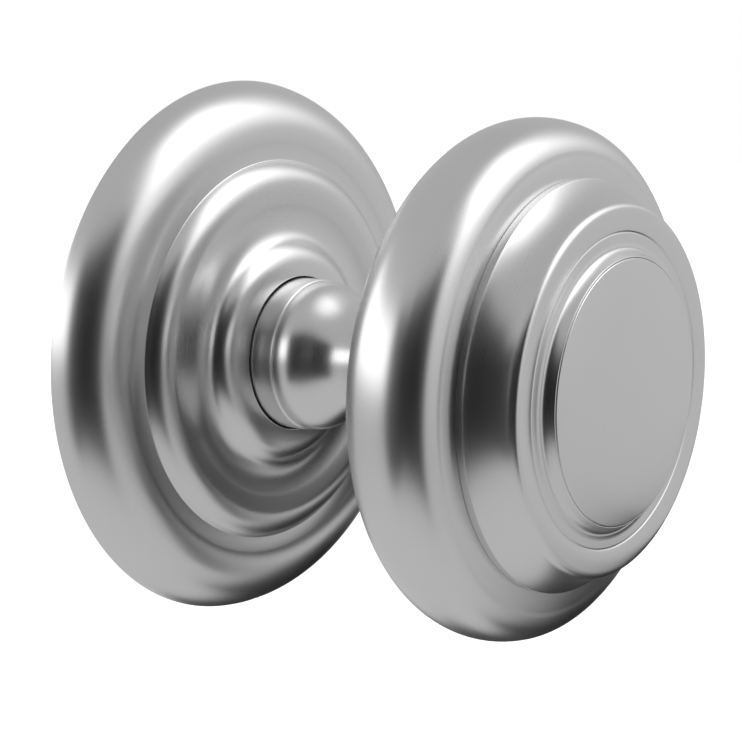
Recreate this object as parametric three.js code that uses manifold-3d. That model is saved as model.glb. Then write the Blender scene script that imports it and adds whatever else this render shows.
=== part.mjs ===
// A turning door knob on a round concealed-fix rose, in millimetres.
//
// It is modelled in a door frame: z is the distance from the door face, out through the knob, y is up
// and x is to the right for someone facing the door. The last group stands that frame up, so that the
// part has +Z up, the door face in the XZ plane and the knob pointing along -Y. The origin is the
// centre of the rose on the door face.
//
// Turned pieces are lathe profiles of [radius, z] points. Angles along a profile are those of the
// surface's normal: 0 faces out of the door, 90 faces away from the axis.

import * as THREE from 'three';
import { mergeVertices } from 'three/addons/utils/BufferGeometryUtils.js';
import Module from 'manifold-3d';

const wasm = await Module();
wasm.setup();

// Driving dimensions
const GAP = 0.3; // clearance between neighbouring pieces
const ROSE_RADIUS = 42.5;
const ROSE_RIM = 0.4; // straight edge at the back of the rose
const HUB_RADIUS = 12.3; // bore of the rose that the neck turns in
const HUB_FRONT = 11.8;
const KNOB_RADIUS = 37.9;
const KNOB_WIDEST = 54.85; // where the head is widest
const STEP_RADIUS = 29.6; // first step on the front of the head
const STEP_Z = 62.1;
const STEP_TOP = 63.4;
const DISC_RADIUS = 18.9;
const DISC_FRONT = 72.0; // crown of the centre disc, the furthest point from the door
const COLLAR_RADIUS = 11.9;
const COLLAR_BACK = 8.7;
const COLLAR_FRONT = 15.8;
const WAIST_RADIUS = 7.0;
const JOURNAL_RADIUS = 8.0;
const SHOULDER_Z = 42.5; // where the neck stops and the head is seated
const SPIGOT_RADIUS = 7.5;
const SPINDLE_SQUARE = 8.2; // socket for an 8 mm square spindle
const SOCKET_DEPTH_Z = 26.0;
const SPINDLE_SCREW_Z = 13.8;
const DRIVE_FLAT = 6.9; // half the width across the flats that turn the spring's driver
const PLATE_RADIUS = 39.0;
const PLATE_THICKNESS = 2.4;
const COVER_SCREW_Z = 1.7;
const BOSS_RADIUS = 13.0;
const BOSS_FRONT = 5.6;
const SCREW_OFFSET = 28.0; // wood screws above and below the axis
const BOLT_THROUGH_OFFSET = 19.0; // clear holes at 38 mm centres
const STOP_RADIUS = 16.1;
const STOP_ANGLE = 74.8; // degrees either side of the bottom, which stops the knob at 60
const PIN_RADIUS = 1.2; // stop pins and spring post
const POST_HEIGHT = 19.0;
const COIL_RADIUS = 14.0;
const WIRE_RADIUS = 0.65;
const LEG_OFFSET = 2.15; // each spring leg's distance from the middle line
const LEG_TOP = 20.5;
const DRIVER_BACK = 7.2;
const DRIVER_THICKNESS = 1.2;
const SEGMENTS = 32;
const SMALL_SEGMENTS = 16;

const METALS = {
  satin: { color: 0xb9b9bb, roughness: 0.32, metalness: 1 },
  zinc: { color: 0x9da1a3, roughness: 0.5, metalness: 1 },
  spring: { color: 0x55585c, roughness: 0.35, metalness: 1 },
  nylon: { color: 0xdedbd0, roughness: 0.6, metalness: 0 },
};

const radians = THREE.MathUtils.degToRad;

// Profile pieces ----------------------------------------------------------------------------------

/** Points on an elliptic arc about [r, z], from one normal angle to another. */
function arc(r, z, radial, axial, from, to, steps) {
  const points = [];
  for (let i = 0; i <= steps; i += 1) {
    const angle = radians(from + ((to - from) * i) / steps);
    points.push([r + radial * Math.sin(angle), z + axial * Math.cos(angle)]);
  }
  return points;
}

/** Points on a cubic Bezier curve with the given end and control points. */
function bend(start, control1, control2, end, steps) {
  const corners = [start, control1, control2, end].map(([r, z]) => new THREE.Vector2(r, z));
  const curve = new THREE.CubicBezierCurve(...corners);
  return curve.getPoints(steps).map((point) => [point.x, point.y]);
}

// Solids ------------------------------------------------------------------------------------------

/** The closed solid of a geometry, with its faces turned outwards. */
function solidOf(geometry) {
  geometry.deleteAttribute('normal');
  geometry.deleteAttribute('uv');
  const merged = mergeVertices(geometry, 1e-4);
  const triangles = [];
  for (let i = 0; i < merged.index.count; i += 3) {
    const [a, b, c] = [0, 1, 2].map((k) => merged.index.getX(i + k));
    if (a !== b && b !== c && c !== a) {
      triangles.push(a, b, c);
    }
  }
  const vertices = new Float32Array(merged.attributes.position.array);
  const point = (index) => new THREE.Vector3().fromArray(vertices, index * 3);
  let volume = 0;
  for (let i = 0; i < triangles.length; i += 3) {
    const [a, b, c] = triangles.slice(i, i + 3).map(point);
    volume += a.dot(b.cross(c));
  }
  if (volume < 0) {
    for (let i = 0; i < triangles.length; i += 3) {
      [triangles[i], triangles[i + 1]] = [triangles[i + 1], triangles[i]];
    }
  }
  const mesh = new wasm.Mesh({
    numProp: 3,
    vertProperties: vertices,
    triVerts: new Uint32Array(triangles),
  });
  return new wasm.Manifold(mesh);
}

/** A solid of revolution about the door frame's z axis. */
function turned(profile, segments = SEGMENTS) {
  const points = profile.map(([r, z]) => new THREE.Vector2(r, z));
  const onAxis = profile[0][0] === 0 && profile[profile.length - 1][0] === 0;
  if (!onAxis) {
    points.push(points[0].clone());
  }
  return solidOf(new THREE.LatheGeometry(points, segments).rotateX(Math.PI / 2));
}

/** A flat washer or tube between two radii. */
function ring(inner, outer, back, front, segments = SEGMENTS) {
  return turned([[inner, back], [outer, back], [outer, front], [inner, front]], segments);
}

/** A plain round bar along z, centred on x, y. */
function bar(radius, back, front, x = 0, y = 0, segments = SMALL_SEGMENTS) {
  const geometry = new THREE.CylinderGeometry(radius, radius, front - back, segments);
  return solidOf(geometry.rotateX(Math.PI / 2).translate(x, y, (back + front) / 2));
}

/** A round bar along y at a height z, from one y to another, such as a radial grub screw. */
function uprightBar(radius, low, high, z, segments = SMALL_SEGMENTS) {
  const geometry = new THREE.CylinderGeometry(radius, radius, high - low, segments);
  return solidOf(geometry.translate(0, (low + high) / 2, z));
}

/** A box between two corners. */
function block(low, high) {
  const size = high.map((value, i) => value - low[i]);
  const middle = high.map((value, i) => (value + low[i]) / 2);
  return solidOf(new THREE.BoxGeometry(...size).translate(...middle));
}

/** The named mesh of a solid. */
function piece(name, solid, metal) {
  const { vertProperties, triVerts, numProp } = solid.getMesh();
  const position = [];
  for (let i = 0; i < vertProperties.length; i += numProp) {
    position.push(...vertProperties.slice(i, i + 3));
  }
  const geometry = new THREE.BufferGeometry();
  geometry.setAttribute('position', new THREE.Float32BufferAttribute(position, 3));
  geometry.setIndex([...triVerts]);
  geometry.computeVertexNormals();
  const mesh = new THREE.Mesh(geometry, new THREE.MeshStandardMaterial(METALS[metal]));
  mesh.name = name;
  return mesh;
}

// Rose: the pieces fixed to the door ----------------------------------------------------------------

/** The stepped cover, an open-backed shell with a set screw hole at the bottom of its rim. */
function roseCover() {
  const outside = [
    [ROSE_RADIUS, 0],
    [ROSE_RADIUS, ROSE_RIM],
    ...arc(34.2, -1.4, 8.5, 8.5, 75, -12, 6),
    [30.2, 6.9],
    ...arc(26.2, 4.6, 4.6, 4.6, 54, -8, 5),
    ...bend([23.6, 8.9], [20.9, 8.3], [18.7, 8.2], [17.4, 9.6], 4),
    ...bend([17.3, 9.72], [16.3, 10.9], [15.2, 11.35], [13.7, 11.5], 3),
    [HUB_RADIUS, HUB_FRONT],
  ];
  const inside = [
    [HUB_RADIUS, 10.3],
    [15.6, 9.9],
    [16.6, 9.1],
    [16.8, 8.2],
    [18.3, 7.4],
    [24.9, 7.9],
    [27.6, 7.4],
    [28.7, 5.9],
    [33.0, 5.8],
    [36.8, 4.6],
    [PLATE_RADIUS + GAP, 3.3],
    [PLATE_RADIUS + GAP, 0],
  ];
  const screwHole = uprightBar(1.5, -ROSE_RADIUS - 1, -PLATE_RADIUS + 1, COVER_SCREW_Z, 12);
  return turned([...outside, ...inside]).subtract(screwHole);
}

/** The plate that is screwed to the door, with the boss that holds the bearing. */
function fixingPlate() {
  const profile = [
    [PLATE_RADIUS, 0],
    [PLATE_RADIUS, 3.0],
    [36.5, 3.0],
    [36.5, PLATE_THICKNESS],
    [BOSS_RADIUS, PLATE_THICKNESS],
    [BOSS_RADIUS, BOSS_FRONT],
    [10.3, BOSS_FRONT],
    [10.3, 2.9],
    [12.0, 2.9],
    [12.0, 0],
  ];
  const holes = [
    ...[-1, 1].map((side) => bar(2.6, -1, 4, side * BOLT_THROUGH_OFFSET, 0, 12)),
    ...[-1, 1].map((side) => countersink().translate([0, side * SCREW_OFFSET, 0])),
    ...stopPins().map(([x, y]) => bar(PIN_RADIUS + GAP, -1, 4, x, y, 12)),
    bar(PIN_RADIUS + GAP, -1, 4, 0, POST_HEIGHT, 12),
  ];
  return holes.reduce((plate, hole) => plate.subtract(hole), turned(profile));
}

/** The clearance of one countersunk wood screw. */
function countersink() {
  return turned([[0, -1], [2.4, -1], [2.4, 0.2], [4.6, 2.4], [4.6, 4], [0, 4]], SMALL_SEGMENTS);
}

/** The places of the two pins that end the knob's travel. */
function stopPins() {
  return [-1, 1].map((side) => {
    const angle = radians(STOP_ANGLE);
    return [side * STOP_RADIUS * Math.sin(angle), -STOP_RADIUS * Math.cos(angle)];
  });
}

/** A countersunk wood screw, its head flush in the plate. */
function woodScrew(y) {
  const profile = [[0, 2.1], [4.0, 2.1], [2.0, 0.1], [2.0, -12.5], [0, -17]];
  return turned(profile, SMALL_SEGMENTS).translate([0, y, 0]);
}

/** The flanged bush that the neck's journal runs in. */
function bearingBush() {
  const bore = JOURNAL_RADIUS + GAP;
  return turned([[bore, 3.2], [10.0, 3.2], [10.0, 5.9], [12.5, 5.9], [12.5, 6.9], [bore, 6.9]]);
}

/** The wire of the return spring: two legs beside the top, joined by just under two turns. */
class SpringWire extends THREE.Curve {
  constructor() {
    super();
    this.elbow = 2.0; // bend from the coil to each leg
    const across = LEG_OFFSET + this.elbow;
    const reach = COIL_RADIUS + this.elbow;
    this.elbowHeight = Math.sqrt(reach * reach - across * across);
    this.elbowAngle = Math.asin(across / reach);
    this.low = 3.35;
    this.high = 6.22;
  }

  getUtoTmapping(u) {
    return u;
  }

  getPoint(t, target = new THREE.Vector3()) {
    const side = t < 0.5 ? -1 : 1;
    const end = Math.min(t, 1 - t) / 0.16; // 0 at a leg's tip, 1 where the coil begins
    const z = side < 0 ? this.low : this.high;
    if (end < 0.4) {
      const y = LEG_TOP + ((this.elbowHeight - LEG_TOP) * end) / 0.4;
      return target.set(side * LEG_OFFSET, y, z);
    }
    if (end < 1) {
      const angle = ((end - 0.4) / 0.6) * (Math.PI / 2 - this.elbowAngle);
      const x = LEG_OFFSET + this.elbow * (1 - Math.cos(angle));
      const y = this.elbowHeight - this.elbow * Math.sin(angle);
      return target.set(side * x, y, z);
    }
    const along = (t - 0.16) / 0.68;
    const turn = Math.PI / 2 + this.elbowAngle + along * (4 * Math.PI - 2 * this.elbowAngle);
    const height = this.low + (this.high - this.low) * along;
    return target.set(COIL_RADIUS * Math.cos(turn), COIL_RADIUS * Math.sin(turn), height);
  }
}

function returnSpring() {
  const section = new THREE.Shape();
  section.absarc(0, 0, WIRE_RADIUS, 0, 2 * Math.PI);
  const path = new SpringWire();
  const wire = new THREE.ExtrudeGeometry(section, { steps: 75, curveSegments: 3, extrudePath: path });
  return solidOf(wire);
}

/** The nylon ring behind the rose's hub that keeps the collar off the metal. */
function neckRing() {
  return ring(COLLAR_RADIUS + GAP, 14.4, 8.75, 9.7);
}

// Knob: the pieces that turn ------------------------------------------------------------------------

/** The neck in one piece: journal, collar, bell, waist and the spigot inside the head. */
function knobShank() {
  const profile = [
    [0, -1.5],
    [JOURNAL_RADIUS - 0.4, -1.5],
    [JOURNAL_RADIUS, -1.1],
    [JOURNAL_RADIUS, 0.4],
    [DRIVE_FLAT, 0.4],
    [DRIVE_FLAT, 1.8],
    [JOURNAL_RADIUS, 1.8],
    [JOURNAL_RADIUS, COLLAR_BACK],
    [COLLAR_RADIUS, COLLAR_BACK],
    [COLLAR_RADIUS, COLLAR_FRONT - 0.3],
    [COLLAR_RADIUS - 0.35, COLLAR_FRONT],
    ...bend([11.45, 16.0], [11.8, 20.8], [WAIST_RADIUS, 20.8], [WAIST_RADIUS, 28.0], 7),
    ...bend([WAIST_RADIUS, 31.0], [WAIST_RADIUS, 36.0], [8.3, 40.5], [10.9, SHOULDER_Z], 5),
    [SPIGOT_RADIUS, SHOULDER_Z],
    [SPIGOT_RADIUS, 61.2],
    [4.3, 61.2],
    [4.3, 48.0],
    [0, 46.0],
  ];
  const half = SPINDLE_SQUARE / 2;
  const cuts = [
    block([-half, -half, -3], [half, half, SOCKET_DEPTH_Z]),
    block([DRIVE_FLAT, -10, -3], [14, 10, COLLAR_BACK]),
    block([-14, -10, -3], [-DRIVE_FLAT, 10, COLLAR_BACK]),
    uprightBar(1.75, -14, -half + 1, SPINDLE_SCREW_Z, 12),
  ];
  return cuts.reduce((shank, cut) => shank.subtract(cut), turned(profile));
}

/** The lever on the shank's flats: its upper tab winds the spring, its lower one meets the stops. */
function springDriver() {
  const front = DRIVER_BACK + DRIVER_THICKNESS;
  const tabBack = 3.0;
  const inside = 15.1; // the tabs clear the coil
  const reach = 16.1;
  const parts = [
    bar(12.6, DRIVER_BACK, front, 0, 0, SEGMENTS),
    block([-2.5, -reach, DRIVER_BACK], [2.5, reach, front]),
    block([-1.2, inside, tabBack], [1.2, reach, front]),
    block([-2.5, -reach, tabBack], [2.5, -inside, front]),
  ];
  const keyway = bar(JOURNAL_RADIUS + GAP, DRIVER_BACK - 1, front + 1, 0, 0, SEGMENTS);
  const flat = DRIVE_FLAT + GAP;
  const flats = block([-flat, -10, DRIVER_BACK - 1], [flat, 10, front + 1]);
  const body = parts.reduce((sum, part) => sum.add(part));
  return body.subtract(keyway.intersect(flats));
}

/** The open ring in the shank's groove that keeps the knob in its rose. */
function circlip() {
  const opening = radians(14);
  const bottom = -Math.PI / 2;
  const outline = new THREE.Shape();
  outline.absarc(0, 0, 10.2, bottom + opening, bottom - opening + 2 * Math.PI, false);
  outline.absarc(0, 0, 7.2, bottom - opening + 2 * Math.PI, bottom + opening, true);
  outline.closePath();
  const settings = { depth: 0.8, bevelEnabled: false, curveSegments: 28 };
  return solidOf(new THREE.ExtrudeGeometry(outline, settings).translate(0, 0, 0.7));
}

/** The head's big outer ring as a line from its back to its front step, moved in by a wall thickness. */
function outerRing(inset, lip) {
  return [
    ...arc(KNOB_RADIUS - 8.7, KNOB_WIDEST, 8.7 - inset, 8.7 - inset, 160, 90, 5),
    ...arc(KNOB_RADIUS - 10, KNOB_WIDEST, 10 - inset, 10 - inset, 80, 70, 1),
    ...arc(32.05, 56.35, 5.6 - inset, 5.6 - inset, 58, 12, 4),
    ...arc(29.3, 43.3, 18.85 - inset, 18.85 - inset, 6, lip, 2),
  ];
}

/** The bowl of the head: back, big outer ring and the lip that the front cap closes. */
function knobBody() {
  const wall = 1.5;
  const hole = SPIGOT_RADIUS + GAP;
  const seat = SHOULDER_Z + GAP;
  const lip = 28.2;
  const profile = [
    ...bend([hole, seat], [14.0, seat + 0.1], [25.5, 44.2], [32.17, 46.67], 5),
    ...outerRing(0, 0.9).slice(1),
    [lip, STEP_Z],
    ...outerRing(wall, -3.6).reverse(),
    [22.0, 45.6],
    [11.0, seat + wall + 0.6],
    [hole, seat + wall + 0.6],
  ];
  return turned(profile);
}

/** The stepped front of the head, with a dished seat for the bolt and the centre disc. */
function frontCap() {
  const flange = STEP_Z + GAP;
  const profile = [
    [27.9, 59.6],
    [27.9, flange],
    [STEP_RADIUS, flange],
    [STEP_RADIUS, STEP_TOP],
    ...arc(36.6, 70.8, -10.2, -10.2, 44, 78, 4),
    ...arc(25.5, 68.5, 1.1, 1.1, 70, 12, 3),
    [24.0, 69.65],
    [22.6, 69.35],
    [22.3, 69.0],
    [22.0, 69.3],
    [21.2, 69.3],
    [20.2, 69.4],
    [19.6, 69.9],
    [19.3, 70.5],
    [DISC_RADIUS + GAP, 70.9],
    [DISC_RADIUS + GAP, 69.0],
    [13.4, 69.0],
    [13.4, 63.0],
    [4.4, 63.0],
    [4.4, 61.5],
    [14.9, 61.5],
    [14.9, 67.5],
    [21.5, 67.6],
    [24.9, 67.2],
    [26.6, 63.0],
    [26.6, 59.6],
  ];
  return turned(profile);
}

/** The slightly domed disc pressed into the front, which hides the bolt. */
function centreDisc() {
  const back = 69.3;
  const edge = 71.0;
  const rim = DISC_RADIUS - 0.15;
  const crown = DISC_FRONT - edge;
  const profile = [[0, back], [DISC_RADIUS, back], [DISC_RADIUS, edge - 0.15], [rim, edge]];
  const rings = 5;
  for (let i = 1; i <= rings; i += 1) {
    const r = rim * (1 - i / rings);
    profile.push([r, edge + crown * (1 - (r / rim) ** 3)]);
  }
  return turned(profile);
}

/** The bolt that clamps the cap and the bowl against the neck. */
function clampBolt() {
  const head = new THREE.CylinderGeometry(7.4, 7.4, 4.1, 6).rotateX(Math.PI / 2);
  return solidOf(head.translate(0, 0, 66.85)).add(bar(3.9, 50, 65, 0, 0, SMALL_SEGMENTS));
}

// Assembly ------------------------------------------------------------------------------------------

const knobBottom = -SPINDLE_SQUARE / 2 - GAP;
const [leftStop, rightStop] = stopPins();

const rose = new THREE.Group();
rose.add(
  piece('rose_cover', roseCover(), 'satin'),
  piece('fixing_plate', fixingPlate(), 'zinc'),
  piece('bearing_bush', bearingBush(), 'nylon'),
  piece('neck_ring', neckRing(), 'nylon'),
  piece('return_spring', returnSpring(), 'spring'),
  piece('spring_post', bar(PIN_RADIUS, 0.4, 6.9, 0, POST_HEIGHT), 'zinc'),
  piece('stop_pin_left', bar(PIN_RADIUS, 0.4, 6.4, ...leftStop), 'zinc'),
  piece('stop_pin_right', bar(PIN_RADIUS, 0.4, 6.4, ...rightStop), 'zinc'),
  piece('cover_grub_screw', uprightBar(1.2, -41.7, -PLATE_RADIUS - GAP, COVER_SCREW_Z, 12), 'zinc'),
  piece('fixing_screw_upper', woodScrew(SCREW_OFFSET), 'zinc'),
  piece('fixing_screw_lower', woodScrew(-SCREW_OFFSET), 'zinc'),
);

const knob = new THREE.Group();
knob.add(
  piece('knob_shank', knobShank(), 'satin'),
  piece('spring_driver', springDriver(), 'zinc'),
  piece('retaining_washer', ring(JOURNAL_RADIUS + GAP, 11.6, 1.8, 2.6), 'zinc'),
  piece('circlip', circlip(), 'spring'),
  piece('spindle_grub_screw', uprightBar(1.45, -11.3, knobBottom, SPINDLE_SCREW_Z, 12), 'zinc'),
  piece('knob_body', knobBody(), 'satin'),
  piece('front_cap', frontCap(), 'satin'),
  piece('clamp_washer', ring(4.4, 9.0, 63.3, 64.5, 24), 'zinc'),
  piece('clamp_bolt', clampBolt(), 'zinc'),
  piece('centre_disc', centreDisc(), 'satin'),
);

const doorKnob = new THREE.Group();
doorKnob.add(rose, knob);
doorKnob.rotation.x = Math.PI / 2;

export default doorKnob;
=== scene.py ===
"""A turning door knob on a stepped round rose, in satin metal, in a pale studio.

Everything is in metres in the row's frame: +Z up the door, the door face in the XZ plane, and the knob
pointing out of the door along -Y. Turned pieces are profiles of [radius, distance from the door] in
millimetres. Angles along a profile are those of the surface's normal: 0 faces out of the door and 90
faces away from the axis.
"""

import math

import bmesh
import bpy
from mathutils import Matrix, Vector


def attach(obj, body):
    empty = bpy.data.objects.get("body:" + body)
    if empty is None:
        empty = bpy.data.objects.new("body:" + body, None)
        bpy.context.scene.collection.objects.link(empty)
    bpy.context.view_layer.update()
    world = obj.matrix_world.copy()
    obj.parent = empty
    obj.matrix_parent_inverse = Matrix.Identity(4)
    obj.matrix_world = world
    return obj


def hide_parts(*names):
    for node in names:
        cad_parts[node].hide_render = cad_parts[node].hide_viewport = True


MM = 0.001
GAP = 0.3
SEAM = 0.04  # pressed joints between pieces of the head
SHARP = 32.0  # faces that meet at a larger angle, in degrees, keep a sharp edge between them
BEVEL_FROM = 40.0  # edges sharper than this angle, in degrees, are eased
ROSE_RADIUS = 42.5
HUB_RADIUS = 12.3
KNOB_RADIUS = 37.9
KNOB_WIDEST = 54.85
STEP_Z = 62.1
STEP_TOP = 63.4
STEP_RADIUS = 29.6
DISC_RADIUS = 18.9
DISC_FRONT = 72.0
COLLAR_RADIUS = 11.9
WAIST_RADIUS = 7.0
JOURNAL_RADIUS = 8.0
SHOULDER_Z = 42.5
SPIGOT_RADIUS = 7.5
SPINDLE_SQUARE = 8.2
PLATE_RADIUS = 39.0
SCREW_OFFSET = 28.0
BOLT_THROUGH_OFFSET = 19.0
PIN_RADIUS = 1.2
PIN_BACK = 0.4
COVER_GRUB_OUT = 1.7
PINCH_GRUB_OUT = 13.8
POST_HEIGHT = 19.0
STOP_RADIUS = 16.1
STOP_ANGLE = 74.8


# Profiles ----------------------------------------------------------------------------------------


def arc(r, d, radial, axial, start, end, steps):
    """Points on an elliptic arc about (r, d), from one normal angle to another."""
    angles = [math.radians(start + (end - start) * i / steps) for i in range(steps + 1)]
    return [(r + radial * math.sin(a), d + axial * math.cos(a)) for a in angles]


def bend(start, control1, control2, end, steps):
    """Points on a cubic Bezier curve."""
    points = []
    for i in range(steps + 1):
        t = i / steps
        weights = ((1 - t) ** 3, 3 * t * (1 - t) ** 2, 3 * t * t * (1 - t), t**3)
        corners = (start, control1, control2, end)
        points.append(tuple(sum(w * c[k] for w, c in zip(weights, corners)) for k in (0, 1)))
    return points


def eased(profile, radius, sharpest=14.0):
    """The profile with every corner sharper than an angle in degrees rounded off by up to a radius."""
    closed = profile[0][0] > 1e-6 or profile[-1][0] > 1e-6
    points = [Vector(p) for p in profile]
    count = len(points)
    result = []
    for i, point in enumerate(points):
        if not closed and i in (0, count - 1):
            result.append(tuple(point))
            continue
        before, after = points[i - 1] - point, points[(i + 1) % count] - point
        turn = math.pi - before.angle(after)
        if math.degrees(turn) < sharpest:
            result.append(tuple(point))
            continue
        cut = min(radius * math.tan(turn / 2), 0.45 * before.length, 0.45 * after.length)
        first = point + before.normalized() * cut
        last = point + after.normalized() * cut
        steps = 4
        for k in range(steps + 1):
            t = k / steps
            mixed = first * (1 - t) ** 2 + point * 2 * t * (1 - t) + last * t * t
            result.append(tuple(mixed))
    return result


# Meshes ------------------------------------------------------------------------------------------


def finished(name, bm, sharp=SHARP):
    """The object of a bmesh, with smooth faces and sharp edges kept."""
    bmesh.ops.remove_doubles(bm, verts=bm.verts, dist=1e-7)
    bmesh.ops.recalc_face_normals(bm, faces=bm.faces)
    mesh = bpy.data.meshes.new(name)
    bm.to_mesh(mesh)
    bm.free()
    mesh.shade_smooth()
    mesh.set_sharp_from_angle(angle=math.radians(sharp))
    piece = bpy.data.objects.new(name, mesh)
    bpy.context.scene.collection.objects.link(piece)
    return piece


def spin(bm, profile, segments, x=0.0, z=0.0):
    """Adds a solid of revolution about the line through x, z that runs out of the door."""
    rings = []
    for r, d in profile:
        if r < 1e-6:
            rings.append([bm.verts.new((x * MM, -d * MM, z * MM))] * segments)
            continue
        angles = [2 * math.pi * i / segments for i in range(segments)]
        ring = [(x + r * math.cos(a), -d, z + r * math.sin(a)) for a in angles]
        rings.append([bm.verts.new(Vector(p) * MM) for p in ring])
    pairs = list(zip(rings, rings[1:]))
    if profile[0][0] > 1e-6 or profile[-1][0] > 1e-6:
        pairs.append((rings[-1], rings[0]))
    for low, high in pairs:
        for i in range(segments):
            j = (i + 1) % segments
            corners = list(dict.fromkeys((low[i], low[j], high[j], high[i])))
            if len(corners) > 2:
                bm.faces.new(corners)


def skin(bm, rings):
    """Joins a row of rings of vertices into a tube with closed ends."""
    count = len(rings[0])
    for low, high in zip(rings, rings[1:]):
        for i in range(count):
            j = (i + 1) % count
            bm.faces.new((low[i], low[j], high[j], high[i]))
    bm.faces.new(rings[0])
    bm.faces.new(rings[-1])


def turned(name, profile, radius=0.25, segments=192, x=0.0, z=0.0):
    """A turned piece with eased edges."""
    bm = bmesh.new()
    spin(bm, eased(profile, radius), segments, x, z)
    return finished(name, bm)


def washer(name, inner, outer, back, front):
    """A flat ring with eased edges."""
    profile = [(inner, back), (outer, back), (outer, front), (inner, front)]
    return turned(name, profile, 0.15, 128)


def pin(name, radius, back, front, x, z):
    """A plain pin with chamfered ends."""
    chamfer = 0.25
    foot = [(0, back), (radius - chamfer, back), (radius, back + chamfer)]
    tip = [(radius, front - chamfer), (radius - chamfer, front), (0, front)]
    return turned(name, foot + tip, 0.08, 40, x, z)


def cutter(profile, segments=48, x=0.0, z=0.0):
    """A round tool for cutting a hole that runs out of the door."""
    bm = bmesh.new()
    spin(bm, profile, segments, x, z)
    return finished("tool", bm)


def upright_cutter(radius, low, high, out):
    """A round tool for a hole that runs up the door, at a distance out from it."""
    bm = bmesh.new()
    middle = Vector((0, -out, (low + high) / 2)) * MM
    bmesh.ops.create_cone(
        bm,
        cap_ends=True,
        segments=48,
        radius1=radius * MM,
        radius2=radius * MM,
        depth=(high - low) * MM,
        matrix=Matrix.Translation(middle),
    )
    return finished("tool", bm)


def box_cutter(low, high):
    """A box tool between two corners, given as x, distance from the door, and height."""
    bm = bmesh.new()
    size = [(b - a) * MM for a, b in zip(low, high)]
    middle = [(a + b) / 2 * MM for a, b in zip(low, high)]
    place = Matrix.Translation((middle[0], -middle[1], middle[2])) @ Matrix.Diagonal((*size, 1))
    bmesh.ops.create_cube(bm, size=1, matrix=place)
    return finished("tool", bm)


def cut(piece, tools, bevel=0.0):
    """The piece with each tool cut out of it, and the new edges eased."""
    for tool in tools:
        modifier = piece.modifiers.new("cut", "BOOLEAN")
        modifier.operation = "DIFFERENCE"
        modifier.solver = "EXACT"
        modifier.object = tool
        applied(piece)
        bpy.data.objects.remove(tool)
    if bevel:
        bevelled(piece, bevel)
        applied(piece)
    piece.data.shade_smooth()
    piece.data.set_sharp_from_angle(angle=math.radians(SHARP))
    return piece


def bevelled(piece, width):
    """Adds a bevel to the piece's sharp edges."""
    modifier = piece.modifiers.new("ease", "BEVEL")
    modifier.width = width * MM
    modifier.segments = 2
    modifier.limit_method = "ANGLE"
    modifier.angle_limit = math.radians(BEVEL_FROM)


def applied(piece):
    """Bakes the piece's modifiers into its mesh."""
    graph = bpy.context.evaluated_depsgraph_get()
    graph.update()
    mesh = bpy.data.meshes.new_from_object(piece.evaluated_get(graph))
    old = piece.data
    piece.modifiers.clear()
    piece.data = mesh
    bpy.data.meshes.remove(old)
    mesh.name = piece.name


# Rose: what stays on the door --------------------------------------------------------------------


def rose_cover():
    """The hollow cover: flange, groove, raised ring and recessed middle, with the grub screw's hole."""
    outside = [
        (ROSE_RADIUS, 0.0),
        (ROSE_RADIUS, 0.4),
        *arc(34.2, -1.4, 8.5, 8.5, 75, -12, 44),
        (30.2, 6.9),
        *arc(26.2, 4.6, 4.6, 4.6, 54, -8, 20),
        *bend((23.6, 8.9), (20.9, 8.3), (18.7, 8.2), (17.4, 9.6), 16),
        *bend((17.3, 9.72), (16.3, 10.9), (15.2, 11.35), (13.7, 11.5), 14),
        (HUB_RADIUS - 0.18, 11.75),
    ]
    inside = [
        (HUB_RADIUS - 0.18, 10.3),
        (15.6, 9.9),
        (16.6, 9.1),
        (16.8, 8.2),
        (18.3, 7.4),
        (24.9, 7.9),
        (27.6, 7.4),
        (28.7, 5.9),
        (33.0, 5.8),
        (36.8, 4.6),
        (PLATE_RADIUS + GAP, 3.3),
        (PLATE_RADIUS + GAP, 0.0),
    ]
    cover = turned("cover", outside + inside, 0.22, 256)
    grub_hole = upright_cutter(1.5, -ROSE_RADIUS - 1, -PLATE_RADIUS + 1, COVER_GRUB_OUT)
    return cut(cover, [grub_hole])


def fixing_plate():
    """The plate behind the cover, with its boss, sunk screw holes, bolt holes and pin holes."""
    profile = [
        (PLATE_RADIUS, 0.0),
        (PLATE_RADIUS, 3.0),
        (36.5, 3.0),
        (36.5, 2.4),
        (13.0, 2.4),
        (13.0, 5.6),
        (10.3, 5.6),
        (10.3, 2.9),
        (12.0, 2.9),
        (12.0, 0.0),
    ]
    plate = turned("plate", profile, 0.2, 160)
    hole = [(0, -1), (2.6, -1), (2.6, 4), (0, 4)]
    pin_hole = [(0, -1), (PIN_RADIUS + GAP, -1), (PIN_RADIUS + GAP, 4), (0, 4)]
    sunk = [(0, -1), (2.4, -1), (2.4, 0.2), (4.6, 2.4), (4.6, 4), (0, 4)]
    tools = [cutter(hole, x=side * BOLT_THROUGH_OFFSET) for side in (-1, 1)]
    tools += [cutter(sunk, z=side * SCREW_OFFSET) for side in (-1, 1)]
    tools += [cutter(pin_hole, x=x, z=z) for x, z in stop_pins()]
    tools.append(cutter(pin_hole, z=POST_HEIGHT))
    return cut(plate, tools, 0.12)


def stop_pins():
    """Where the two pins stand that end the knob's travel, as x and height."""
    angle = math.radians(STOP_ANGLE)
    return [(side * STOP_RADIUS * math.sin(angle), -STOP_RADIUS * math.cos(angle)) for side in (-1, 1)]


def bearing_bush():
    """The flanged bush that the shank turns in."""
    bore = JOURNAL_RADIUS + GAP
    profile = [(bore, 3.2), (10.0, 3.2), (10.0, 5.9), (12.5, 5.9), (12.5, 6.9), (bore, 6.9)]
    return turned("bush", profile, 0.2, 96)


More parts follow.
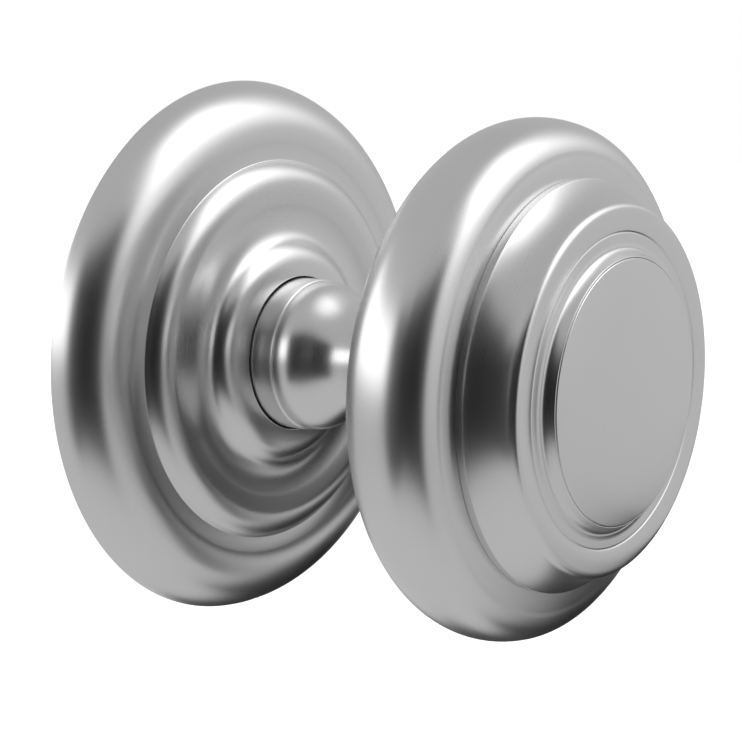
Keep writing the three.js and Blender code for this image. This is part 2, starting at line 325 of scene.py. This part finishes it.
def threaded(name, radius, root, pitch, back, front, taper, segments=40, x=0.0, z=0.0):
    """A threaded shank about a line out of the door; taper is the length of its pointed back end."""
    rings_a_turn, flank = 10, 3.2
    bm = bmesh.new()
    rings = []
    count = int((front - back) / pitch * rings_a_turn)
    for i in range(count + 1):
        d = back + (front - back) * i / count
        narrow = min(1.0, max(0.02, (d - back) / taper)) if taper else 1.0
        ring = []
        for k in range(segments):
            angle = 2 * math.pi * k / segments
            phase = (d / pitch + k / segments) % 1.0
            ridge = max(0.0, 1 - abs(phase - 0.5) * flank)
            fade = min(1.0, (front - d) / pitch)
            r = narrow * (root + (radius - root) * ridge * fade)
            point = Vector((x + r * math.cos(angle), -d, z + r * math.sin(angle)))
            ring.append(bm.verts.new(point * MM))
        rings.append(ring)
    skin(bm, rings)
    return finished(name, bm, 60)


def wood_screw(name, height):
    """A countersunk wood screw: head with a cross recess, plain neck and a tapered thread."""
    head = [(0, 2.1), (3.7, 2.1), (4.0, 1.95), (2.0, 0.1), (1.55, -1.5), (0, -1.5)]
    screw = turned("head", head, 0.1, 64, z=height)
    arm, slot, floor_out, clear = 2.2, 0.4, 0.9, 4
    cross = [
        box_cutter((-arm, floor_out, height - slot), (arm, clear, height + slot)),
        box_cutter((-slot, floor_out, height - arm), (slot, clear, height + arm)),
    ]
    cut(screw, cross)
    thread = threaded("thread", 2.0, 1.35, 1.6, -17.0, -1.2, 4.5, z=height)
    return joined(name, [screw, thread])


def joined(name, parts):
    """Several meshes as one piece."""
    bm = bmesh.new()
    for part in parts:
        bm.from_mesh(part.data)
        bpy.data.objects.remove(part)
    mesh = bpy.data.meshes.new(name)
    bm.to_mesh(mesh)
    bm.free()
    mesh.shade_smooth()
    mesh.set_sharp_from_angle(angle=math.radians(40))
    piece = bpy.data.objects.new(name, mesh)
    bpy.context.scene.collection.objects.link(piece)
    return piece


def grub_screw(name, radius, low, high, out):
    """A socket set screw that stands up the door, its hexagon socket facing down."""
    length = high - low
    screw = threaded(name, radius, radius - 0.28, 0.5, 0.0, length, 0)
    socket = cutter([(0, -1), (radius * 0.5, -1), (radius * 0.5, 1.2), (0, 1.5)], 6)
    cut(screw, [socket])
    # The thread was made along the way out of the door, from 0 to -length in Y: turn it to run up from low.
    turn = Matrix.Rotation(math.radians(-90), 4, "X")
    screw.data.transform(Matrix.Translation(Vector((0, -out, low)) * MM) @ turn)
    return screw


def spring_path():
    """The spring's centreline: a leg, just under two turns, and a leg."""
    coil, leg, elbow, tip = 14.0, 2.15, 2.0, 20.5
    low, high = 3.35, 6.22
    elbow_steps, coil_steps = 12, 150
    across, reach = leg + elbow, coil + elbow
    height = math.sqrt(reach * reach - across * across)
    opening = math.asin(across / reach)
    points = []
    for i in range(elbow_steps + 1):
        angle = (math.pi / 2 - opening) * i / elbow_steps
        x = leg + elbow * (1 - math.cos(angle))
        points.append((-x, height - elbow * math.sin(angle), low))
    left = [(-leg, tip, low), (-leg, (tip + height) / 2, low), *points]
    turns = []
    for i in range(1, coil_steps):
        t = i / coil_steps
        angle = math.pi / 2 + opening + t * (4 * math.pi - 2 * opening)
        turns.append((coil * math.cos(angle), coil * math.sin(angle), low + (high - low) * t))
    right = [(-x, y, high) for x, y, _ in reversed(left)]
    return [Vector((x, -d, y)) * MM for x, y, d in (*left, *turns, *right)]


def return_spring():
    """Round wire swept along the spring's path, with closed ends."""
    path, radius, sides = spring_path(), 0.65 * MM, 16
    bm = bmesh.new()
    rings = []
    for i, point in enumerate(path):
        ahead = path[min(i + 1, len(path) - 1)] - path[max(i - 1, 0)]
        across = ahead.cross(Vector((0, 1, 0))).normalized()
        up = across.cross(ahead).normalized()
        angles = [2 * math.pi * k / sides for k in range(sides)]
        spokes = [across * math.cos(a) + up * math.sin(a) for a in angles]
        rings.append([bm.verts.new(point + radius * spoke) for spoke in spokes])
    skin(bm, rings)
    return finished("spring_wire", bm, 50)


# Knob: what turns --------------------------------------------------------------------------------


def knob_shank():
    """The shank, collar and neck in one, with its clip groove, flats, square socket and grub hole."""
    profile = [
        (0.0, -1.5),
        (7.6, -1.5),
        (8.0, -1.1),
        (8.0, 0.4),
        (6.9, 0.4),
        (6.9, 1.8),
        (8.0, 1.8),
        (8.0, 8.7),
        (COLLAR_RADIUS, 8.7),
        (COLLAR_RADIUS, 15.6),
        (11.7, 15.75),
        (11.62, 15.85),
        *bend((11.66, 15.95), (11.8, 20.8), (WAIST_RADIUS, 20.8), (WAIST_RADIUS, 28.0), 48),
        *bend((WAIST_RADIUS, 31.0), (WAIST_RADIUS, 36.0), (8.3, 40.5), (10.9, SHOULDER_Z), 28),
        (SPIGOT_RADIUS, SHOULDER_Z),
        (SPIGOT_RADIUS, 61.2),
        (4.3, 61.2),
        (4.3, 48.0),
        (0.0, 46.0),
    ]
    shank = turned("shank", profile, 0.15, 160)
    half = SPINDLE_SQUARE / 2
    tools = [
        box_cutter((-half, -3, -half), (half, 26, half)),
        box_cutter((6.9, -3, -10), (14, 8.7, 10)),
        box_cutter((-14, -3, -10), (-6.9, 8.7, 10)),
        upright_cutter(1.75, -14, -half + 1, PINCH_GRUB_OUT),
    ]
    return cut(shank, tools)


def circlip():
    """An open ring of rounded section, its gap at the bottom."""
    bm = bmesh.new()
    opening, steps = math.radians(14), 96
    section = eased([(7.2, 0.7), (10.2, 0.7), (10.2, 1.5), (7.2, 1.5)], 0.15)
    rings = []
    for i in range(steps + 1):
        angle = -math.pi / 2 + opening + (2 * math.pi - 2 * opening) * i / steps
        corners = [Vector((r * math.cos(angle), -d, r * math.sin(angle))) * MM for r, d in section]
        rings.append([bm.verts.new(p) for p in corners])
    skin(bm, rings)
    return finished("clip", bm)


def outer_ring(inset, lip, steps):
    """The head's big outer ring from its back to its front step, moved in by a wall thickness."""
    return [
        *arc(KNOB_RADIUS - 8.7, KNOB_WIDEST, 8.7 - inset, 8.7 - inset, 160, 90, 5 * steps),
        *arc(KNOB_RADIUS - 10, KNOB_WIDEST, 10 - inset, 10 - inset, 88, 72, steps),
        *arc(32.05, 56.35, 5.6 - inset, 5.6 - inset, 68, 12, 4 * steps),
        *arc(29.3, 43.3, 18.85 - inset, 18.85 - inset, 10.5, lip, 2 * steps),
    ]


def knob_body():
    """The head's hollow shell, from its seat on the neck to the step round the cap."""
    wall, lip = 1.5, 28.2
    hole, seat = SPIGOT_RADIUS + GAP, SHOULDER_Z + GAP
    profile = [
        *bend((hole, seat), (14.0, seat + 0.1), (25.5, 44.2), (32.17, 46.67), 24),
        *outer_ring(0, 0.9, 8)[1:],
        (lip, STEP_Z),
        *reversed(outer_ring(wall, -3.6, 2)),
        (22.0, 45.6),
        (11.0, seat + wall + 0.6),
        (hole, seat + wall + 0.6),
    ]
    return turned("bowl", profile, 0.2, 256)


def front_cap():
    """The raised centre: sloping wall, rounded lip, groove and the seat for the disc."""
    flange = STEP_Z + SEAM
    profile = [
        (27.9, 59.6),
        (27.9, flange),
        (STEP_RADIUS, flange),
        (STEP_RADIUS, STEP_TOP),
        *arc(36.6, 70.8, -10.2, -10.2, 44, 78, 24),
        *arc(25.5, 68.5, 1.1, 1.1, 70, 12, 14),
        *bend((25.6, 69.6), (24.6, 69.65), (23.4, 69.55), (22.6, 69.4), 8),
        (22.4, 69.25),
        (22.2, 69.35),
        *arc(21.2, 71.6, -2.3, -2.3, 0, 18, 6),
        *bend((20.2, 69.42), (19.7, 69.6), (19.45, 70.15), (19.15, 70.92), 12),
        (DISC_RADIUS + SEAM, 70.95),
        (DISC_RADIUS + SEAM, 69.0),
        (13.4, 69.0),
        (13.4, 63.0),
        (4.4, 63.0),
        (4.4, 61.5),
        (14.9, 61.5),
        (14.9, 67.5),
        (21.5, 67.6),
        (24.9, 67.2),
        (26.6, 63.0),
        (26.6, 59.6),
    ]
    return turned("cap", profile, 0.18, 256)


def centre_disc():
    """Domed: nearly flat in the middle and falling away toward its rim."""
    back, edge, rim = 69.3, 71.05, DISC_RADIUS - 0.12
    crown = DISC_FRONT - edge
    profile = [(0, back), (DISC_RADIUS, back), (DISC_RADIUS, edge - 0.1), (rim, edge)]
    rings = 40
    for i in range(1, rings + 1):
        r = rim * (1 - i / rings)
        profile.append((r, edge + crown * (1 - (r / rim) ** 3)))
    return turned("disc", profile, 0.1, 256)


# Assembly ----------------------------------------------------------------------------------------


def place(piece, node, body, slot, material):
    """Stands a piece in for its CAD node, on its body, with its finish."""
    piece.name = node + "_fine"
    piece.data.name = piece.name
    piece.data.materials.clear()
    piece.data.materials.append(material)
    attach(piece, body)
    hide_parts(node)


def dress(node, material):
    """Gives a carried-over CAD node soft edges and a material."""
    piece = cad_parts[node]
    piece.data.materials.clear()
    piece.data.materials.append(material)
    bevelled(piece, 0.12)


def build_rose(metal, plated, screw_steel, spring_steel, nylon):
    """What stays on the door."""
    place(rose_cover(), "rose_cover", "rose", "satin_metal", metal)
    place(fixing_plate(), "fixing_plate", "rose", "plated_steel", plated)
    place(bearing_bush(), "bearing_bush", "rose", "bearing_plastic", nylon)
    ring = washer("ring", COLLAR_RADIUS + GAP, 14.4, 8.75, 9.7)
    place(ring, "neck_ring", "rose", "bearing_plastic", nylon)
    place(return_spring(), "return_spring", "rose", "spring_steel", spring_steel)
    post = pin("post", PIN_RADIUS, PIN_BACK, 6.9, 0, POST_HEIGHT)
    place(post, "spring_post", "rose", "plated_steel", plated)
    for side, at in zip(("left", "right"), stop_pins()):
        stop = pin("stop", PIN_RADIUS, PIN_BACK, 6.4, *at)
        place(stop, "stop_pin_" + side, "rose", "plated_steel", plated)
    grub = grub_screw("grub", 1.2, -41.7, -PLATE_RADIUS - GAP, COVER_GRUB_OUT)
    place(grub, "cover_grub_screw", "rose", "screw_steel", screw_steel)
    place(wood_screw("screw", SCREW_OFFSET), "fixing_screw_upper", "rose", "screw_steel", screw_steel)
    place(wood_screw("screw", -SCREW_OFFSET), "fixing_screw_lower", "rose", "screw_steel", screw_steel)


def build_knob(metal, plated, screw_steel, spring_steel):
    """What turns."""
    thrust = washer("washer", JOURNAL_RADIUS + GAP, 11.6, 1.8, 2.6)
    pinch = grub_screw("grub", 1.45, -11.3, -SPINDLE_SQUARE / 2 - GAP, PINCH_GRUB_OUT)
    place(knob_shank(), "knob_shank", "knob", "satin_metal", metal)
    place(thrust, "retaining_washer", "knob", "plated_steel", plated)
    place(circlip(), "circlip", "knob", "spring_steel", spring_steel)
    place(pinch, "spindle_grub_screw", "knob", "screw_steel", screw_steel)
    place(knob_body(), "knob_body", "knob", "satin_metal", metal)
    place(front_cap(), "front_cap", "knob", "satin_metal", metal)
    clamp = washer("washer", 4.4, 9.0, 63.3, 64.5)
    place(clamp, "clamp_washer", "knob", "plated_steel", plated)
    place(centre_disc(), "centre_disc", "knob", "satin_metal", metal)
    dress("spring_driver", plated)
    dress("clamp_bolt", screw_steel)


# Materials ---------------------------------------------------------------------------------------


class Nodes:
    """A node tree, with short ways to add and join its nodes."""

    def __init__(self, owner):
        self.owner = owner
        owner.use_nodes = True
        self.tree = owner.node_tree

    def add(self, kind, **settings):
        """A new node of a kind, such as Math, with its settings."""
        node = self.tree.nodes.new("ShaderNode" + kind)
        for key, value in settings.items():
            setattr(node, key, value)
        return node

    def join(self, source, target):
        self.tree.links.new(source, target)

    def maths(self, operation, first, second):
        """The result of an operation on two values, each a number or a socket."""
        node = self.add("Math", operation=operation)
        for socket, value in zip(node.inputs, (first, second)):
            if isinstance(value, (int, float)):
                socket.default_value = value
            else:
                self.join(value, socket)
        return node.outputs[0]

    def noise(self, vector, scale, detail=4.0, roughness=0.5, w=None):
        """Noise from 0 to 1 at the coordinates, with w as a fourth one where it is given."""
        node = self.add("TexNoise", noise_dimensions="4D" if w is not None else "3D")
        self.join(vector, node.inputs["Vector"])
        node.inputs["Scale"].default_value = scale
        node.inputs["Detail"].default_value = detail
        node.inputs["Roughness"].default_value = roughness
        if w is not None:
            self.join(w, node.inputs["W"])
        return node.outputs["Fac"]

    def spread(self, value, low, high, out_low, out_high):
        """The value carried from one range to another, and held inside the new one."""
        node = self.add("MapRange")
        self.join(value, node.inputs["Value"])
        limits = {"From Min": low, "From Max": high, "To Min": out_low, "To Max": out_high}
        for key, number in limits.items():
            node.inputs[key].default_value = number
        return node.outputs["Result"]

    def around_axis(self, across, along):
        """Coordinates and a w that change fast across the turning marks and slowly along them."""
        place = self.add("TexCoord").outputs["Object"]
        parts = self.add("SeparateXYZ")
        self.join(place, parts.inputs[0])
        x, y, z = parts.outputs
        squares = self.maths("ADD", self.maths("MULTIPLY", x, x), self.maths("MULTIPLY", z, z))
        radius = self.maths("POWER", squares, 0.5)
        safe = self.maths("MAXIMUM", radius, 0.0002)
        vector = self.add("CombineXYZ")
        self.join(self.maths("MULTIPLY", radius, across), vector.inputs[0])
        self.join(self.maths("MULTIPLY", self.maths("DIVIDE", x, safe), along), vector.inputs[1])
        self.join(self.maths("MULTIPLY", self.maths("DIVIDE", z, safe), along), vector.inputs[2])
        return vector.outputs[0], self.maths("MULTIPLY", y, across)

    def mixed(self, value, first, second):
        """A colour between two, by a value from 0 to 1."""
        node = self.add("Mix", data_type="RGBA")
        self.join(value, node.inputs["Factor"])
        node.inputs["A"].default_value = (*first, 1)
        node.inputs["B"].default_value = (*second, 1)
        return node.outputs["Result"]

    def blended(self, value, first, second):
        """A number between two, by a value from 0 to 1."""
        node = self.add("Mix", data_type="FLOAT")
        self.join(value, node.inputs["Factor"])
        for key, number in (("A", first), ("B", second)):
            if isinstance(number, (int, float)):
                node.inputs[key].default_value = number
            else:
                self.join(number, node.inputs[key])
        return node.outputs["Result"]

    def bump(self, height, strength, distance, normal=None):
        """A normal tilted by a height, on top of another normal where it is given."""
        node = self.add("Bump")
        node.inputs["Strength"].default_value = strength
        node.inputs["Distance"].default_value = distance
        self.join(height, node.inputs["Height"])
        if normal is not None:
            self.join(normal, node.inputs["Normal"])
        return node.outputs["Normal"]


def surface(name):
    """A new material's nodes, with its shader."""
    n = Nodes(bpy.data.materials.new(name))
    n.shader = n.tree.nodes["Principled BSDF"]
    return n


def satin_metal():
    """Satin plate over turned brass: fine circular grain, a soft cloud in the polish and a few hairlines."""
    n = surface("satin_metal")
    place = n.add("TexCoord").outputs["Object"]
    grain_at, grain_w = n.around_axis(9000.0, 3.0)
    grain = n.noise(grain_at, 1.0, 3.0, 0.6, grain_w)
    cloud = n.noise(place, 55.0, 4.0, 0.55)
    fine = n.noise(place, 2600.0, 2.0, 0.5)
    hair_at, hair_w = n.around_axis(2400.0, 20.0)
    hair = n.spread(n.noise(hair_at, 1.0, 1.0, 0.4, hair_w), 0.70, 0.78, 0.0, 1.0)
    rough = n.spread(cloud, 0.3, 0.7, 0.275, 0.305)
    rough = n.maths("ADD", rough, n.spread(grain, 0.3, 0.7, -0.012, 0.012))
    n.join(n.maths("ADD", rough, n.maths("MULTIPLY", hair, 0.03)), n.shader.inputs["Roughness"])
    n.join(n.mixed(cloud, (0.66, 0.66, 0.665), (0.72, 0.72, 0.72)), n.shader.inputs["Base Color"])
    n.shader.inputs["Metallic"].default_value = 1.0
    soft = n.bump(fine, 0.05, 0.00002)
    lines = n.bump(grain, 0.025, 0.00002, soft)
    n.join(n.bump(hair, 0.03, 0.00001, lines), n.shader.inputs["Normal"])
    return n.owner


def plated_steel():
    """Dull zinc plate with a faint spangle and handling marks."""
    n = surface("plated_steel")
    place = n.add("TexCoord").outputs["Object"]
    cloud = n.noise(place, 160.0, 5.0, 0.6)
    fine = n.noise(place, 1800.0, 2.0, 0.5)
    n.join(n.spread(cloud, 0.3, 0.7, 0.36, 0.52), n.shader.inputs["Roughness"])
    n.join(n.mixed(cloud, (0.48, 0.50, 0.52), (0.64, 0.66, 0.66)), n.shader.inputs["Base Color"])
    n.shader.inputs["Metallic"].default_value = 1.0
    n.join(n.bump(fine, 0.2, 0.00003), n.shader.inputs["Normal"])
    return n.owner


def screw_steel():
    """Bright zinc on small screws, a little yellowed, with rolling marks."""
    n = surface("screw_steel")
    place = n.add("TexCoord").outputs["Object"]
    cloud = n.noise(place, 420.0, 4.0, 0.6)
    n.join(n.spread(cloud, 0.3, 0.7, 0.26, 0.42), n.shader.inputs["Roughness"])
    n.join(n.mixed(cloud, (0.52, 0.50, 0.45), (0.66, 0.66, 0.64)), n.shader.inputs["Base Color"])
    n.shader.inputs["Metallic"].default_value = 1.0
    n.join(n.bump(cloud, 0.15, 0.00003), n.shader.inputs["Normal"])
    return n.owner


def spring_steel():
    """Oiled dark spring wire with drawing lines."""
    n = surface("spring_steel")
    place = n.add("TexCoord").outputs["Object"]
    cloud = n.noise(place, 500.0, 4.0, 0.6)
    n.join(n.spread(cloud, 0.3, 0.7, 0.22, 0.38), n.shader.inputs["Roughness"])
    n.join(n.mixed(cloud, (0.16, 0.165, 0.18), (0.27, 0.27, 0.28)), n.shader.inputs["Base Color"])
    n.shader.inputs["Metallic"].default_value = 1.0
    n.join(n.bump(cloud, 0.15, 0.00003), n.shader.inputs["Normal"])
    return n.owner


def bearing_plastic():
    """Natural nylon, slightly mottled."""
    n = surface("bearing_plastic")
    place = n.add("TexCoord").outputs["Object"]
    cloud = n.noise(place, 300.0, 4.0, 0.5)
    n.join(n.spread(cloud, 0.3, 0.7, 0.5, 0.62), n.shader.inputs["Roughness"])
    n.join(n.mixed(cloud, (0.74, 0.72, 0.64), (0.82, 0.81, 0.75)), n.shader.inputs["Base Color"])
    n.join(n.bump(cloud, 0.1, 0.00005), n.shader.inputs["Normal"])
    return n.owner


# Studio ------------------------------------------------------------------------------------------

# How bright the room is, and its soft boxes and dark parts, as the metal reflects them: how bright, then
# turn, rise, half width, half height and softness of the edge in degrees. Later ones cover earlier ones.
ROOM = 0.545
REFLECTED = [
    (0.64, 0, -70, 200, 45, 25),  # the floor
    (0.8, -38, 30, 44, 32, 30),  # the glow round the soft box
    (1.35, -34, 45, 36, 27, 20),  # the glow close to it
    (2.3, -32, 48, 26, 16, 16),  # the soft box, high on the right
    (1.9, 128, 14, 47, 13, 8),  # a second one, behind on the left
    (0.0, 46, 2, 35, 35, 12),  # the dark round the camera
    (0.63, -64, -6, 24, 19, 16),  # a pale card on the right
    (0.0, -97, -40, 40, 18, 8),  # the dark low on the right
]
# Dark cards that stand near the knob, each by two lower corners and its height.
CARDS = [
    ("card_left", (-0.150, -0.028, -0.098), (-0.20, -0.130, -0.098), 0.190),
    ("card_near", (0.045, -0.096, -0.102), (0.055, -0.072, -0.102), 0.066),
    ("card_right", (0.055, -0.072, -0.044), (0.090, 0.012, -0.044), 0.028),
]


def camera():
    """Stands to the left of the knob, a little above it, and looks slightly down."""
    data = bpy.data.cameras.new("camera")
    data.lens = 92.4
    data.sensor_width = 36.0
    data.clip_start = 0.01
    eye = bpy.data.objects.new("camera", data)
    bpy.context.scene.collection.objects.link(eye)
    eye.location = (-0.23025, -0.20116, 0.04728)
    target = Vector((0.0, -0.0259, -0.0015))
    eye.rotation_euler = (target - eye.location).to_track_quat("-Z", "Y").to_euler()
    bpy.context.scene.camera = eye


def plain(name, colour, strength=0.0):
    """An unshiny studio surface, which may glow."""
    n = surface(name)
    n.shader.inputs["Base Color"].default_value = (*colour, 1)
    n.shader.inputs["Roughness"].default_value = 0.9
    n.shader.inputs["Specular IOR Level"].default_value = 0.0
    n.shader.inputs["Emission Color"].default_value = (1, 1, 1, 1)
    n.shader.inputs["Emission Strength"].default_value = strength
    return n.owner


def floor():
    """A wide pale floor below the knob. It is left out of reflections, which the surroundings give."""
    bm = bmesh.new()
    bmesh.ops.create_grid(bm, x_segments=8, y_segments=8, size=3.0)
    ground = finished("floor", bm)
    ground.location = (0, 0, -0.16)
    ground.data.materials.append(plain("floor_paint", (0.86, 0.86, 0.86), 0.6))
    ground.visible_glossy = False
    ground.visible_diffuse = False
    ground.visible_shadow = False


def card(name, start, end, height):
    """A dark card that the metal reflects and the camera doesn't see."""
    bm = bmesh.new()
    foot = [bm.verts.new(corner) for corner in (start, end)]
    top = [bm.verts.new((x, y, z + height)) for x, y, z in (end, start)]
    bm.faces.new(foot + top)
    sheet = finished(name, bm)
    sheet.data.materials.append(plain(name + "_paint", (0.01, 0.01, 0.01)))
    sheet.visible_camera = False
    sheet.visible_diffuse = False
    sheet.visible_shadow = False


def window(n, direction, turn, rise, half_width, half_height, soft):
    """1 in a soft-edged window of the surroundings and 0 outside it, in degrees.

    Turn is measured from straight out of the door toward its left, and rise from level.
    """
    turned_to = n.add("VectorRotate", rotation_type="Z_AXIS")
    n.join(direction, turned_to.inputs["Vector"])
    turned_to.inputs["Angle"].default_value = math.radians(turn)
    parts = n.add("SeparateXYZ")
    n.join(turned_to.outputs[0], parts.inputs[0])
    x, y, z = parts.outputs
    across = n.maths("ARCTAN2", n.maths("MULTIPLY", x, -1.0), n.maths("MULTIPLY", y, -1.0))
    sideways = n.maths("ABSOLUTE", across, 0.0)
    above = n.maths("SUBTRACT", n.maths("ARCSINE", z, 0.0), math.radians(rise))
    upright = n.maths("ABSOLUTE", above, 0.0)
    sides = []
    for value, half in ((sideways, half_width), (upright, half_height)):
        outer, inner = math.radians(half + soft / 2), math.radians(half - soft / 2)
        side = n.spread(value, inner, outer, 1.0, 0.0)
        side.node.interpolation_type = "SMOOTHSTEP"
        sides.append(side)
    return n.maths("MULTIPLY", *sides)


def surroundings():
    """What the metal reflects: a pale room with soft boxes and dark parts. The camera sees plain white."""
    world = bpy.data.worlds.new("studio")
    n = Nodes(world)
    direction = n.add("TexCoord").outputs["Generated"]
    light = ROOM
    for level, *place in REFLECTED:
        light = n.blended(window(n, direction, *place), light, level)
    seen = n.add("LightPath").outputs["Is Camera Ray"]
    n.join(n.blended(seen, light, 1.0), n.tree.nodes["Background"].inputs["Strength"])
    n.tree.nodes["Background"].inputs["Color"].default_value = (1, 1, 1, 1)
    bpy.context.scene.world = world


def studio():
    """The whole setting, shown without a film look."""
    surroundings()
    floor()
    for settings in CARDS:
        card(*settings)
    scene = bpy.context.scene
    scene.view_settings.view_transform = "Standard"
    scene.view_settings.look = "None"


# Script ------------------------------------------------------------------------------------------

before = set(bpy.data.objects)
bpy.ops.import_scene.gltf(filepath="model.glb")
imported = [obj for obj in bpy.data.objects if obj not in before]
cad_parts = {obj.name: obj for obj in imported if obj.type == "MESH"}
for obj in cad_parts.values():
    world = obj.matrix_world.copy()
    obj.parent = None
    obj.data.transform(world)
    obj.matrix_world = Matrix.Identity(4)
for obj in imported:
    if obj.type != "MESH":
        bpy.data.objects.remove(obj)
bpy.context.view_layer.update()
camera()
satin = satin_metal()
zinc = plated_steel()
screws = screw_steel()
wire = spring_steel()
build_rose(satin, zinc, screws, wire, bearing_plastic())
build_knob(satin, zinc, screws, wire)
studio()
